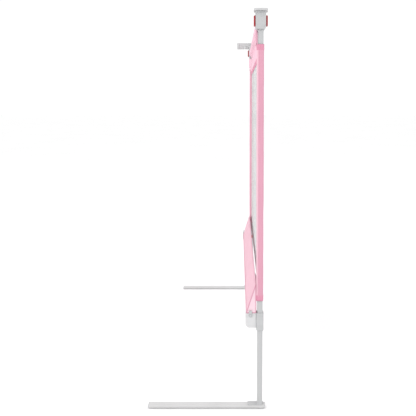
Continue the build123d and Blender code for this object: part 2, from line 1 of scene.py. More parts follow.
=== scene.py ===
"""Toddler bed rail: cloth, mesh, finishes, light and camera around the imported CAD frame. Metres, +Z up."""
import math

import bmesh
import bpy
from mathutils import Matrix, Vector, noise


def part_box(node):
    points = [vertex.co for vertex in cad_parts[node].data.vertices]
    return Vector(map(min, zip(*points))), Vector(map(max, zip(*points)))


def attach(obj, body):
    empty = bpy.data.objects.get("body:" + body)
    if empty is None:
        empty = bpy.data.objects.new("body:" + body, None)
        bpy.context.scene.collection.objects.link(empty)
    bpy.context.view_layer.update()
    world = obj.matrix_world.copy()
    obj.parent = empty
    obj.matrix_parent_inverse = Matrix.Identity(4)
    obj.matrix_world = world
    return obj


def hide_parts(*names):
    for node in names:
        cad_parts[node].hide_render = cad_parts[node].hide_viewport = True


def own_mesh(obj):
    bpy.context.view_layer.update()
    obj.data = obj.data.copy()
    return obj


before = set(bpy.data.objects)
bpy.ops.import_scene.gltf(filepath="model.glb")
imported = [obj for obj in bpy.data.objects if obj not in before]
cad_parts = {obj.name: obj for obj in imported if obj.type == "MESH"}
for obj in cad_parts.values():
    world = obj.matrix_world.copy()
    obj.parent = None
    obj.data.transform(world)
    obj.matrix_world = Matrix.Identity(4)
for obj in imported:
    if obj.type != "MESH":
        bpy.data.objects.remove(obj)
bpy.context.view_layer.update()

MM = 0.001

# ---- places taken from the frame -----------------------------------------------------
near_sleeve_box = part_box("near_post_sleeve")
band_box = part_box("near_side_band")
mesh_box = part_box("mesh_panel")
hem_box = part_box("mesh_hem")
top_band_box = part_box("top_band")
top_tube_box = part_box("top_tube")
lower_tube_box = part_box("lower_tube")
skirt_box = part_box("lower_skirt")
tab_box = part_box("skirt_tabs")
bracket_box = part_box("near_bar_bracket")
post_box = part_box("near_post")
housing_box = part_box("near_housing_inner")

PANEL_X = (band_box[0][0] + band_box[1][0]) / 2
PANEL_BOTTOM = band_box[0][2]
PANEL_TOP = band_box[1][2]
POST_Y = (post_box[0][1] + post_box[1][1]) / 2
SLEEVE_X = (near_sleeve_box[0][0] + near_sleeve_box[1][0]) / 2
SLEEVE_HALF_X = 7.15 * MM
SLEEVE_HALF_Y = 9.3 * MM
SLEEVE_BOTTOM = near_sleeve_box[0][2]
SLEEVE_TOP = near_sleeve_box[1][2]
SEAM_Y = POST_Y + SLEEVE_HALF_Y
MESH_END = mesh_box[1][1]
MESH_TOP = mesh_box[1][2]
BAND_BOTTOM = top_band_box[0][2]
TUBE_Z = (top_tube_box[0][2] + top_tube_box[1][2]) / 2
TUBE_X = (top_tube_box[0][0] + top_tube_box[1][0]) / 2
TUBE_RADIUS = (top_tube_box[1][2] - top_tube_box[0][2]) / 2
LOWER_X = (lower_tube_box[0][0] + lower_tube_box[1][0]) / 2
LOWER_Z = (lower_tube_box[0][2] + lower_tube_box[1][2]) / 2
TUNNEL_END = -housing_box[1][1] - 0.3 * MM
SKIRT_END = skirt_box[1][1]
SKIRT_TOP = skirt_box[1][2]
SKIRT_BACK = skirt_box[1][0]
SKIRT_LEFT = skirt_box[0][0]
SKIRT_BASE = bracket_box[1][2] + 0.5 * MM
TAB_LENGTH = 120 * MM
WELT_RADIUS = 0.9 * MM
END_FADE = 26 * MM               # the wedge's crown fades out over this length at each end
WEDGE_CROWN = 2.2                # millimetres that the wedge's front face is padded out
SAG_START = tab_box[1][1]        # from here to its far end the skirt hangs lower and narrower
SAG_DROP = 16 * MM               # how much lower its top is at the far end
SAG_IN = 6.2 * MM                # how much further back its front edge is there
WRAP_END = -bracket_box[1][1] - 0.5 * MM

STITCH_LENGTH = 2.6 * MM
STITCH_PITCH = 4.0 * MM
STITCH_RADIUS = 0.32 * MM
CLOTH = 0.5 * MM                 # one layer of cloth
FLAP_X = top_band_box[0][0] + 0.8 * MM   # middle of the flaps' cloth, from the tunnel's bed-side edge
FLAP_END = top_band_box[1][1]
TURN_LENGTH = 24 * MM            # over this length the band turns to the bed side of the post
TUNNEL_WRAP = 320                # degrees of the top tube that the tunnel's cloth goes round
BINDING_HEIGHT = 13 * MM
SLEEVE_HEM = 11 * MM
PAINTED_HIGHLIGHT_STRIP = 2.6 * MM           # painted highlight: paler strip down a sleeve's bed-side corner, where the light falls


# ---- shader helpers ------------------------------------------------------------------
def new_material(name, roughness, colour=None):
    """A material with its tree, its shader and object-space coordinates."""
    material = bpy.data.materials.new(name)
    material.use_nodes = True
    tree = material.node_tree
    shader = tree.nodes["Principled BSDF"]
    shader.inputs["Roughness"].default_value = roughness
    if colour:
        shader.inputs["Base Color"].default_value = (*colour, 1)
    coordinates = tree.nodes.new("ShaderNodeTexCoord").outputs["Object"]
    return material, tree, shader, coordinates


def srgb(red, green, blue):
    """Linear colour for the display values 0 to 255."""
    def linear(value):
        value /= 255
        return value / 12.92 if value <= 0.04045 else ((value + 0.055) / 1.055) ** 2.4
    return tuple(linear(value) for value in (red, green, blue))


def math_node(tree, operation, first, second=None):
    node = tree.nodes.new("ShaderNodeMath")
    node.operation = operation
    for socket, value in zip(node.inputs, (first, second)):
        if value is None:
            continue
        if isinstance(value, (int, float)):
            socket.default_value = value
        else:
            tree.links.new(value, socket)
    return node.outputs[0]


def noise_node(tree, coordinates, scale, detail=3.0, stretch=(1, 1, 1)):
    """Noise with features of about 1 / scale metres."""
    mapping = tree.nodes.new("ShaderNodeMapping")
    mapping.inputs["Scale"].default_value = stretch
    tree.links.new(coordinates, mapping.inputs["Vector"])
    node = tree.nodes.new("ShaderNodeTexNoise")
    node.inputs["Scale"].default_value = scale
    node.inputs["Detail"].default_value = detail
    tree.links.new(mapping.outputs["Vector"], node.inputs["Vector"])
    return node.outputs["Fac"]


def ramp(tree, value, *stops):
    """A colour ramp; each stop is a position and a linear colour."""
    node = tree.nodes.new("ShaderNodeValToRGB")
    elements = node.color_ramp.elements
    while len(elements) < len(stops):
        elements.new(0.5)
    for element, (position, colour) in zip(elements, stops):
        element.position = position
        element.color = (*colour, 1)
    tree.links.new(value, node.inputs["Fac"])
    return node.outputs["Color"]


def remap(tree, value, low, high):
    """Brings a value between 0 and 1 to the range from low to high."""
    node = tree.nodes.new("ShaderNodeMapRange")
    node.inputs["To Min"].default_value = low
    node.inputs["To Max"].default_value = high
    tree.links.new(value, node.inputs["Value"])
    return node.outputs["Result"]


def bump(tree, shader, height, strength, distance):
    node = tree.nodes.new("ShaderNodeBump")
    node.inputs["Strength"].default_value = strength
    node.inputs["Distance"].default_value = distance
    tree.links.new(height, node.inputs["Height"])
    tree.links.new(node.outputs["Normal"], shader.inputs["Normal"])


def shade(colour, factor):
    return tuple(min(1.0, channel * factor) for channel in colour)


def threads(tree, coordinates, pitch, axis):
    """Ridges across one axis, from 0 to 1."""
    split = tree.nodes.new("ShaderNodeSeparateXYZ")
    tree.links.new(coordinates, split.inputs[0])
    phase = math_node(tree, "MULTIPLY", split.outputs[axis], 2 * math.pi / pitch)
    wave = math_node(tree, "SINE", phase)
    return math_node(tree, "MULTIPLY_ADD", wave, 0.5)


# ---- materials -----------------------------------------------------------------------
def powder_coat(name, colour):
    """Satin powder coat: a fine orange peel and slight changes in gloss."""
    material, tree, shader, coordinates = new_material(name, 0.42)
    patches = noise_node(tree, coordinates, 14, 4)
    tree.links.new(ramp(tree, patches, (0.3, shade(colour, 0.96)), (0.7, shade(colour, 1.03))),
                   shader.inputs["Base Color"])
    gloss = noise_node(tree, coordinates, 60)
    tree.links.new(remap(tree, gloss, 0.34, 0.5), shader.inputs["Roughness"])
    bump(tree, shader, noise_node(tree, coordinates, 900, 2), 0.12, 0.15 * MM)
    return material


def moulded(name, colour, roughness=0.48, grain=0.18):
    """Moulded plastic with a fine sparked grain and faint flow marks."""
    material, tree, shader, coordinates = new_material(name, roughness)
    flow = noise_node(tree, coordinates, 45, 4, (1, 1, 3))
    tree.links.new(ramp(tree, flow, (0.3, shade(colour, 0.95)), (0.7, shade(colour, 1.04))),
                   shader.inputs["Base Color"])
    rub = noise_node(tree, coordinates, 120)
    tree.links.new(remap(tree, rub, roughness - 0.08, roughness + 0.1), shader.inputs["Roughness"])
    bump(tree, shader, noise_node(tree, coordinates, 1800, 2), grain, 0.12 * MM)
    return material


def rubber(name, colour):
    material, tree, shader, coordinates = new_material(name, 0.8)
    dust = noise_node(tree, coordinates, 90, 5)
    tree.links.new(ramp(tree, dust, (0.35, shade(colour, 0.85)), (0.7, shade(colour, 1.1))),
                   shader.inputs["Base Color"])
    bump(tree, shader, noise_node(tree, coordinates, 700, 2), 0.3, 0.2 * MM)
    return material


def plated_steel(name, colour, stretch=(1, 1, 6)):
    """Zinc plate with fine turning marks."""
    material, tree, shader, coordinates = new_material(name, 0.3)
    shader.inputs["Metallic"].default_value = 1
    marks = noise_node(tree, coordinates, 700, 3, stretch)
    tree.links.new(ramp(tree, marks, (0.3, shade(colour, 0.85)), (0.7, shade(colour, 1.1))),
                   shader.inputs["Base Color"])
    tree.links.new(remap(tree, marks, 0.22, 0.4), shader.inputs["Roughness"])
    bump(tree, shader, marks, 0.1, 0.05 * MM)
    return material


def woven(name, colour, pitch=0.9 * MM, strength=0.35, sheen=0.35):
    """Plain woven cloth: crossed threads, uneven dye and a soft sheen."""
    material, tree, shader, coordinates = new_material(name, 0.85)
    shader.inputs["Sheen Weight"].default_value = sheen
    shader.inputs["Sheen Roughness"].default_value = 0.5
    shader.inputs["Sheen Tint"].default_value = (*shade(colour, 1.15), 1)
    across = threads(tree, coordinates, pitch, "Z")
    along = threads(tree, coordinates, pitch, "Y")
    through = threads(tree, coordinates, pitch, "X")
    weft = math_node(tree, "MULTIPLY", along, through)
    weave = math_node(tree, "ADD", math_node(tree, "MULTIPLY", across, 0.5), weft)
    slub = noise_node(tree, coordinates, 260, 3, (1, 1, 5))
    dye = noise_node(tree, coordinates, 9, 4)
    mottled = math_node(tree, "ADD", math_node(tree, "MULTIPLY", slub, 0.35),
                        math_node(tree, "MULTIPLY", dye, 0.65))
    tone = math_node(tree, "ADD", math_node(tree, "MULTIPLY", weave, 0.16),
                     math_node(tree, "MULTIPLY", mottled, 0.8))
    tree.links.new(ramp(tree, tone, (0.3, shade(colour, 0.93)), (0.75, shade(colour, 1.05))),
                   shader.inputs["Base Color"])
    height = math_node(tree, "ADD", weave, math_node(tree, "MULTIPLY", slub, 0.6))
    bump(tree, shader, height, strength, 0.25 * MM)
    return material


def netting(name, colour, pitch=3.2 * MM, thread=0.42):
    """Knitted mesh: two slanting sets of threads with open diamonds between them."""
    material, tree, shader, coordinates = new_material(name, 0.7, colour)
    shader.inputs["Sheen Weight"].default_value = 0.2
    split = tree.nodes.new("ShaderNodeSeparateXYZ")
    tree.links.new(coordinates, split.inputs[0])
    sets = []
    for slant in (-1, 1):
        lean = math_node(tree, "MULTIPLY", split.outputs["Z"], slant * 0.6)
        place = math_node(tree, "ADD", split.outputs["Y"], lean)
        wave = math_node(tree, "SINE", math_node(tree, "MULTIPLY", place, 2 * math.pi / pitch))
        sets.append(math_node(tree, "ABSOLUTE", wave))
    lowest = math_node(tree, "MINIMUM", *sets)
    solid = math_node(tree, "LESS_THAN", lowest, thread + 0.12)
    tree.links.new(solid, shader.inputs["Alpha"])
    yarn = noise_node(tree, coordinates, 500, 2)
    tree.links.new(ramp(tree, yarn, (0.3, shade(colour, 0.92)), (0.7, shade(colour, 1.04))),
                   shader.inputs["Base Color"])
    round_yarn = math_node(tree, "SUBTRACT", 1.0, lowest)
    bump(tree, shader, round_yarn, 0.4, 0.3 * MM)
    return material


STEEL_GREY = srgb(185, 186, 187)
PLASTIC_GREY = srgb(186, 187, 188)
PINK = srgb(217, 158, 178)
PINK_LIGHT = srgb(230, 187, 200)
PINK_PALE = srgb(242, 213, 223)
PINK_BAND = srgb(240, 197, 212)
PINK_DARK = srgb(217, 146, 170)

post_paint = powder_coat("post_powder_coat", STEEL_GREY)
foot_paint = powder_coat("foot_powder_coat", srgb(201, 201, 201))
grey_plastic = moulded("grey_plastic", PLASTIC_GREY)
cap_plastic = moulded("cap_plastic", srgb(192, 192, 193))
light_plastic = moulded("light_plastic", srgb(208, 208, 209), 0.42, 0.12)
red_plastic = moulded("red_plastic", srgb(160, 24, 34), 0.34, 0.1)
pad_rubber = rubber("pad_rubber", srgb(150, 150, 150))
screw_steel = plated_steel("screw_steel", srgb(205, 206, 208))
spring_steel = plated_steel("spring_steel", srgb(170, 172, 176), (6, 1, 1))
pink_cloth = woven("pink_cloth", PINK)
pink_light_cloth = woven("pink_light_cloth", PINK_LIGHT)
pink_pale_cloth = woven("pink_pale_cloth", PINK_PALE)
pink_band_cloth = woven("pink_band_cloth", PINK_BAND)
pink_binding = woven("pink_binding", PINK_DARK, 0.7 * MM, 0.45)
pale_binding = woven("pale_binding", srgb(240, 236, 237), 0.7 * MM, 0.45)
thread_material = woven("sewing_thread", srgb(244, 190, 206), 0.4 * MM, 0.6, 0.2)
white_net = netting("white_net", srgb(211, 213, 213), thread=0.5)


def paint_cad():
    """Gives every CAD node that stays visible its finish."""
    finishes = {
        post_paint: ("near_post", "far_post", "near_post_stub", "far_post_stub", "top_tube", "lower_tube"),
        foot_paint: ("near_foot", "far_foot"),
        cap_plastic: ("near_post_cap", "far_post_cap", "corner_link"),
        grey_plastic: ("near_foot_plug", "far_foot_plug", "near_heel_plug", "far_heel_plug",
                       "near_housing_outer", "far_housing_outer", "near_housing_inner", "far_housing_inner",
                       "near_collar", "far_collar", "skirt_clips"),
        light_plastic: ("near_bar_bracket", "far_bar_bracket"),
        red_plastic: ("near_bed_side_button", "far_bed_side_button", "near_room_side_button",
                      "far_room_side_button", "near_lock_button", "far_lock_button"),
        pad_rubber: ("foot_pads",),
        screw_steel: ("base_screws", "housing_screws", "top_tube_screws", "lower_tube_screws", "clip_screws",
                      "link_pin"),
        spring_steel: ("button_springs", "lock_springs"),
    }
    for material, nodes in finishes.items():
        for node in nodes:
            slots = bpy.data.objects[node].material_slots
            for slot in slots:
                slot.material = material


# ---- mesh helpers --------------------------------------------------------------------
def make_object(name, points, faces, materials, smooth=True):
    mesh = bpy.data.meshes.new(name)
    mesh.from_pydata([tuple(point) for point in points], [], faces)
    mesh.validate()
    for material in materials:
        mesh.materials.append(material)
    for polygon in mesh.polygons:
        polygon.use_smooth = smooth
    obj = bpy.data.objects.new(name, mesh)
    bpy.context.scene.collection.objects.link(obj)
    return obj


def apply_modifiers(obj):
    """Turns the modifiers' result into the object's own mesh."""
    graph = bpy.context.evaluated_depsgraph_get()
    mesh = bpy.data.meshes.new_from_object(obj.evaluated_get(graph))
    obj.modifiers.clear()
    obj.data = mesh


def lattice(name, rows, material, closed=False, thickness=CLOTH, offset=0.0):
    """A sheet through rows of points; a closed one joins the ends of each row."""
    count = len(rows[0])
    points = [point for row in rows for point in row]
    faces = []
    for i in range(len(rows) - 1):
        for j in range(count if closed else count - 1):
            k = (j + 1) % count
            faces.append((i * count + j, i * count + k, (i + 1) * count + k, (i + 1) * count + j))
    obj = make_object(name, points, faces, [material])
    if thickness:
        solid = obj.modifiers.new("cloth", "SOLIDIFY")
        solid.thickness = thickness
        solid.offset = offset
        apply_modifiers(obj)
    return obj


def steps(start, end, size):
    """Evenly spaced values from start to end, no further apart than size."""
    count = max(1, math.ceil(abs(end - start) / size))
    return [start + (end - start) * i / count for i in range(count + 1)]


def smooth_step(value):
    """Eases from 0 to 1 as value goes from 0 to 1, and stays level outside that."""
    value = min(1.0, max(0.0, value))
    return value * value * (3 - 2 * value)


def ripple(x, y, z, seed=0.0):
    """Smooth unevenness from about -1 to 1."""
    return noise.noise(Vector((x, y, z + seed))) * 1.6


def tube_along(name, path, radius, material, sides=8):
    """A round cord of cloth along a path, closed at both ends."""
    points = []
    faces = []
    for i, place in enumerate(path):
        ahead = path[min(i + 1, len(path) - 1)] - path[max(i - 1, 0)]
        direction = ahead.normalized()
        reference = Vector((1, 0, 0)) if abs(direction.x) < 0.9 else Vector((0, 1, 0))
        side = direction.cross(reference).normalized()
        up = side.cross(direction)
        for j in range(sides):
            angle = 2 * math.pi * j / sides
            points.append(place + radius * (math.cos(angle) * side + math.sin(angle) * up))
    for i in range(len(path) - 1):
        for j in range(sides):
            k = (j + 1) % sides
            faces.append((i * sides + j, i * sides + k, (i + 1) * sides + k, (i + 1) * sides + j))
    faces.append(tuple(range(sides))[::-1])
    faces.append(tuple((len(path) - 1) * sides + j for j in range(sides)))
    return make_object(name, points, faces, [material])


def stitch_rows(name, rows, material=None):
    """Sewn stitches: each row is a start, an end and the cloth's normal there."""
    points = []
    faces = []
    for start, end, normal in rows:
        run = end - start
        direction = run.normalized()
        side = normal.cross(direction).normalized()
        count = int(run.length / STITCH_PITCH)
        for i in range(count):
            middle = start + direction * (i + 0.5) * run.length / count
            base = len(points)
            for along, width in ((-0.5, 0.45), (-0.25, 1.0), (0.25, 1.0), (0.5, 0.45)):
                centre = middle + direction * along * STITCH_LENGTH
                for j in range(5):
                    angle = 2 * math.pi * j / 5
                    reach = STITCH_RADIUS * width
                    points.append(centre + reach * (math.cos(angle) * side + math.sin(angle) * normal))
            for i_ring in range(3):
                for j in range(5):
                    a = base + i_ring * 5
                    k = (j + 1) % 5
                    faces.append((a + j, a + k, a + 5 + k, a + 5 + j))
            faces.append(tuple(base + j for j in range(5))[::-1])
            faces.append(tuple(base + 15 + j for j in range(5)))
    return make_object(name, points, faces, [material or thread_material])


def gathers(obj):
    """Attaches a piece to the lower rail's body and gives it its own copy of its mesh."""
    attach(obj, "lower_rail")
    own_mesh(obj)


# ---- post sleeves --------------------------------------------------------------------
def sleeve_ring(end, z, swell, sides=44):
    """One level of a sleeve: a rounded loop round the post, with gentle drag lines."""
    ring = []
    for i in range(sides):
        angle = 2 * math.pi * i / sides
        c = math.cos(angle)
        s = math.sin(angle)
        x = math.copysign(abs(c) ** 0.55, c) * SLEEVE_HALF_X
        y = math.copysign(abs(s) ** 0.55, s) * SLEEVE_HALF_Y
        drag = 0.28 * MM * ripple(c * 1.3, s * 1.3 + 4 * end, z * 16)
        drag += 0.16 * MM * ripple(c * 2.5, s * 2.5 - z * 45, z * 30, 7.0 * end)
        reach = Vector((x, y)).length
        scale = (reach + drag + swell) / reach
        ring.append(Vector((SLEEVE_X + x * scale, end * -POST_Y + y * scale, z)))
    return ring


def hem_swell(z):
    """How far a sleeve swells where its end is folded into a hem."""
    from_end = min(z - SLEEVE_BOTTOM, SLEEVE_TOP - z)
    return 0.35 * MM * max(0.0, 1 - max(0.0, from_end - SLEEVE_HEM) / (2 * MM))


def sleeve(end, side_name):
    rows = [sleeve_ring(end, z, hem_swell(z)) for z in steps(SLEEVE_BOTTOM, SLEEVE_TOP, 4 * MM)]
    piece = lattice(f"{side_name}_sleeve_cloth", rows, pink_cloth, closed=True)
    piece.data.materials.append(pink_light_cloth)
    piece.data.materials.append(pink_binding)
    for polygon in piece.data.polygons:
        from_end = min(polygon.center.z - SLEEVE_BOTTOM, SLEEVE_TOP - polygon.center.z)
        if from_end < SLEEVE_HEM:
            polygon.material_index = 2
        # faces on the bed-side corner get the paler cloth as a painted highlight where the light falls
        elif polygon.center.x < SLEEVE_X - SLEEVE_HALF_X + PAINTED_HIGHLIGHT_STRIP:
            polygon.material_index = 1
    gathers(piece)
    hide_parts(f"{side_name}_post_sleeve")


def sleeve_stitches():
    """Hem stitches round the sleeves and the seam down each end face."""
    rows = []
    for end in (-1, 1):
        face_y = end * (-POST_Y + SLEEVE_HALF_Y + 0.45 * MM)
        outward = Vector((0, end, 0))
        seam_x = SLEEVE_X - SLEEVE_HALF_X + 4.2 * MM
        rows.append((Vector((seam_x, face_y, SLEEVE_BOTTOM + 12 * MM)),
                     Vector((seam_x, face_y, SLEEVE_TOP - 12 * MM)), outward))
        for z in (SLEEVE_BOTTOM + 9.5 * MM, SLEEVE_TOP - 9.5 * MM):
            rows.append((Vector((SLEEVE_X - 5 * MM, face_y + end * 0.3 * MM, z)),
                         Vector((SLEEVE_X + 5 * MM, face_y + end * 0.3 * MM, z)), outward))
            for side in (-1, 1):
                x = SLEEVE_X + side * (SLEEVE_HALF_X + 0.7 * MM)
                middle = end * -POST_Y
                rows.append((Vector((x, middle - 6 * MM, z)), Vector((x, middle + 6 * MM, z)),
                             Vector((side, 0, 0))))
    gathers(stitch_rows("sleeve_stitches", rows))


# ---- panel ---------------------------------------------------------------------------
def panel_x(y, z, amount):
    """The panel's depth: cloth that is pulled flat, with slight drag between its edges."""
    height = (z - PANEL_BOTTOM) / (PANEL_TOP - PANEL_BOTTOM)
    hold = math.sin(math.pi * min(1, max(0, height)))
    across = max(0.0, 1 - (abs(y) / -SEAM_Y) ** 6)
    return PANEL_X + amount * MM * hold * across * ripple(0.3, y * 7, z * 4)


def panel_sheet(name, y0, y1, z0, z1, material, amount, size, thickness):
    rows = []
    for z in steps(z0, z1, size):
        rows.append([Vector((panel_x(y, z, amount), y, z)) for y in steps(y0, y1, size)])
    return lattice(name, rows, material, thickness=thickness)


def side_band(end, side_name):
    """Solid cloth between a sleeve and the mesh."""
    outer = end * -SEAM_Y
    inner = end * MESH_END
    piece = panel_sheet(f"{side_name}_band_cloth", min(outer, inner), max(outer, inner), PANEL_BOTTOM,
                        PANEL_TOP, pink_light_cloth, 1.1, 6 * MM, 1.1 * MM)
    gathers(piece)
    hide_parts(f"{side_name}_side_band")


def mesh_window():
    piece = panel_sheet("mesh_cloth", -MESH_END, MESH_END, hem_box[1][2] - 2 * MM, MESH_TOP, white_net, 1.1,
                        8 * MM, 0.7 * MM)
    gathers(piece)
    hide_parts("mesh_panel")


def folded_strip(name, start, end, height, thickness, material, upright):
    """A folded binding: a flat loop with round folds, run from start to end."""
    rows = []
    half = thickness / 2
    profile = []
    for i in range(16):
        angle = 2 * math.pi * i / 16
        c = math.cos(angle)
        s = math.sin(angle)
        profile.append((math.copysign(abs(c) ** 0.5, c) * half,
                        math.copysign(abs(s) ** 0.35, s) * height / 2))
    run = end - start
    side = run.normalized().cross(upright)
    for t in steps(0, 1, 6 * MM / run.length):
        centre = start + run * t
        swell = 1 + 0.12 * ripple(centre.y * 22, centre.z * 22, 3.0)
        rows.append([centre + side * a * swell + upright * b for a, b in profile])
    piece = lattice(name, rows, material, closed=True, thickness=0)
    close_ends(piece, len(profile), len(rows))
    return piece


def close_ends(piece, count, levels):
    """Closes both ends of a loop-shaped piece."""
    work = bmesh.new()
    work.from_mesh(piece.data)
    work.verts.ensure_lookup_table()
    work.faces.new([work.verts[j] for j in range(count)])
    work.faces.new([work.verts[(levels - 1) * count + j] for j in range(count)])
    bmesh.ops.recalc_face_normals(work, faces=work.faces)
    work.to_mesh(piece.data)
    work.free()
    for polygon in piece.data.polygons:
        polygon.use_smooth = True


def mesh_bindings():
    """The light binding along the mesh's lower edge and the seams beside the mesh."""
    middle = (hem_box[0][2] + hem_box[1][2]) / 2
    height = hem_box[1][2] - hem_box[0][2]
    piece = folded_strip("mesh_hem_binding", Vector((PANEL_X, -MESH_END, middle)),
                         Vector((PANEL_X, MESH_END, middle)), height, 2.0 * MM, pale_binding,
                         Vector((0, 0, 1)))
    gathers(piece)
    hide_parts("mesh_hem")
    for end, side_name in ((-1, "near"), (1, "far")):
        seam = folded_strip(f"{side_name}_mesh_seam", Vector((PANEL_X, end * MESH_END, PANEL_BOTTOM)),
                            Vector((PANEL_X, end * MESH_END, PANEL_TOP)), 5 * MM, 1.9 * MM, pink_light_cloth,
                            Vector((0, 1, 0)))
        gathers(seam)
        path = [Vector((PANEL_X, end * -SEAM_Y, z)) for z in steps(PANEL_BOTTOM, PANEL_TOP, 10 * MM)]
        cord = tube_along(f"{side_name}_sleeve_seam", path, 1.1 * MM, pink_cloth)
        gathers(cord)


def panel_stitches():
    """Double rows beside each seam of the panel, on both faces."""
    low = PANEL_BOTTOM + 4 * MM
    high = PANEL_TOP - 2 * MM
    over_hem = hem_box[1][2] - 2 * MM
    columns = ((-SEAM_Y - 3.5 * MM, -0.25), (MESH_END + 1.3 * MM, 0.1), (MESH_END - 1.3 * MM, 0.1))
    rows = []
    for face in (-1, 1):
        x = PANEL_X + face * 1.0 * MM
        normal = Vector((face, 0, 0))
        for end in (-1, 1):
            for y, lift in columns:
                place = x + face * lift * MM
                rows.append((Vector((place, end * y, low)), Vector((place, end * y, high)), normal))
            across_x = x - face * 0.3 * MM
            rows.append((Vector((across_x, end * (MESH_END + 4 * MM), low)),
                         Vector((across_x, end * (-SEAM_Y - 3 * MM), low)), normal))
        rows.append((Vector((x, -MESH_END, over_hem)), Vector((x, MESH_END, over_hem)), normal))
    gathers(stitch_rows("panel_stitches", rows))


# ---- top band ------------------------------------------------------------------------
def top_band():
    """Cloth tunnel round the top tube, drawn together under it and hanging as a double band."""
    radius = TUBE_RADIUS + 0.7 * MM
    lowest = BAND_BOTTOM + 2 * MM
    neck = TUBE_Z - radius - 3 * MM
    rows = []
    for y in steps(-TUNNEL_END, TUNNEL_END, 6 * MM):
        row = []
        for z in steps(lowest, neck, 5 * MM):
            row.append(Vector((PANEL_X - 0.5 * MM + 0.5 * MM * ripple(1, y * 9, z * 9), y, z)))
        for i in range(29):
            angle = math.radians(-110 - TUNNEL_WRAP * i / 28)
            puff = radius + 0.3 * MM * ripple(math.cos(angle) * 2, y * 14, math.sin(angle) * 2)
            row.append(Vector((TUBE_X + puff * math.cos(angle), y, TUBE_Z + puff * math.sin(angle))))
        for z in steps(neck, lowest, 5 * MM):
            row.append(Vector((PANEL_X + 0.5 * MM + 0.5 * MM * ripple(1, y * 9, z * 9), y, z)))
        rows.append(row)
    tunnel = lattice("top_band_cloth", rows, pink_band_cloth, thickness=0.45 * MM, offset=0)
    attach(tunnel, "top_rail")
    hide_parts("top_band")


def flap_x(reach):
    """How far the band has turned to the bed side of the post, at a distance along the rail."""
    turn = smooth_step((reach - TUNNEL_END) / TURN_LENGTH)
    return PANEL_X + (FLAP_X - PANEL_X) * turn


def band_corner_piece(name, end, reaches, levels, lean_from):
    """Part of the band beyond the tube; the cloth leans into its turn above lean_from."""
    rows = []
    for z in levels:
        lean = smooth_step((z - lean_from) / (SLEEVE_TOP - lean_from)) if z < SLEEVE_TOP else 1.0
        row = []
        for reach in reaches:
            wave = 0.3 * MM * ripple(1, reach * 9, z * 9) * (FLAP_END - reach) / (FLAP_END - TUNNEL_END)
            row.append(Vector((PANEL_X + (flap_x(reach) - PANEL_X) * lean + wave, end * reach, z)))
        rows.append(row)
    piece = lattice(name, rows, pink_band_cloth, thickness=1.1 * MM)
    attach(piece, "top_rail")


def band_corners():
    """The band's ends: a straight corner beside the sleeve, and above it a flap beside the post."""
    lowest = BAND_BOTTOM + 2 * MM
    flap_bottom = SLEEVE_TOP + 0.5 * MM
    flap_top = housing_box[0][2] - 1 * MM
    for end, side_name in ((-1, "near"), (1, "far")):
        band_corner_piece(f"{side_name}_band_corner", end, steps(TUNNEL_END, -SEAM_Y, 3 * MM),
                          steps(lowest, flap_bottom, 4 * MM), lowest + 6 * MM)
        band_corner_piece(f"{side_name}_band_flap", end, steps(TUNNEL_END, FLAP_END, 3 * MM),
                          steps(flap_bottom, flap_top, 4 * MM), lowest)
        hem_y = end * (FLAP_END - 1.5 * MM)
        hem = folded_strip(f"{side_name}_flap_hem", Vector((FLAP_X, hem_y, flap_bottom + 0.5 * MM)),
                           Vector((FLAP_X, hem_y, flap_top - 0.5 * MM)), 3.6 * MM, 1.9 * MM, pink_cloth,
                           Vector((0, 1, 0)))
        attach(hem, "top_rail")


def top_binding():
    """Dark binding over the seam between the band and the mesh, with its stitches."""
    middle = BAND_BOTTOM + BINDING_HEIGHT / 2
    reach = -SEAM_Y - 1 * MM
    strip = folded_strip("top_binding", Vector((PANEL_X, -reach, middle)), Vector((PANEL_X, reach, middle)),
                         BINDING_HEIGHT, 3.0 * MM, pink_binding, Vector((0, 0, 1)))
    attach(strip, "top_rail")
    rows = []
    for face in (-1, 1):
        normal = Vector((face, 0, 0))
        for z in (BAND_BOTTOM + 2.5 * MM, BAND_BOTTOM + 10.5 * MM):
            x = PANEL_X + face * 1.55 * MM
            rows.append((Vector((x, -reach, z)), Vector((x, reach, z)), normal))
        under = TUBE_Z - TUBE_RADIUS - 7 * MM
        x = PANEL_X + face * 1.0 * MM
        rows.append((Vector((x, -TUNNEL_END, under)), Vector((x, TUNNEL_END, under)), normal))
    stitches = stitch_rows("top_stitches", rows)
    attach(stitches, "top_rail")


# ---- lower skirt ---------------------------------------------------------------------
def skirt_outline(y):
    """The wedge's three corners at y: bottom front, top, bottom back."""
    sag = smooth_step((y - SAG_START) / (SKIRT_END - SAG_START))
    front = SKIRT_LEFT + 0.6 * MM + sag * SAG_IN
    return (Vector((front, y, SKIRT_BASE)), Vector((SKIRT_BACK - 0.6 * MM, y, SKIRT_TOP - sag * SAG_DROP)),
            Vector((SKIRT_BACK, y, SKIRT_BASE)))


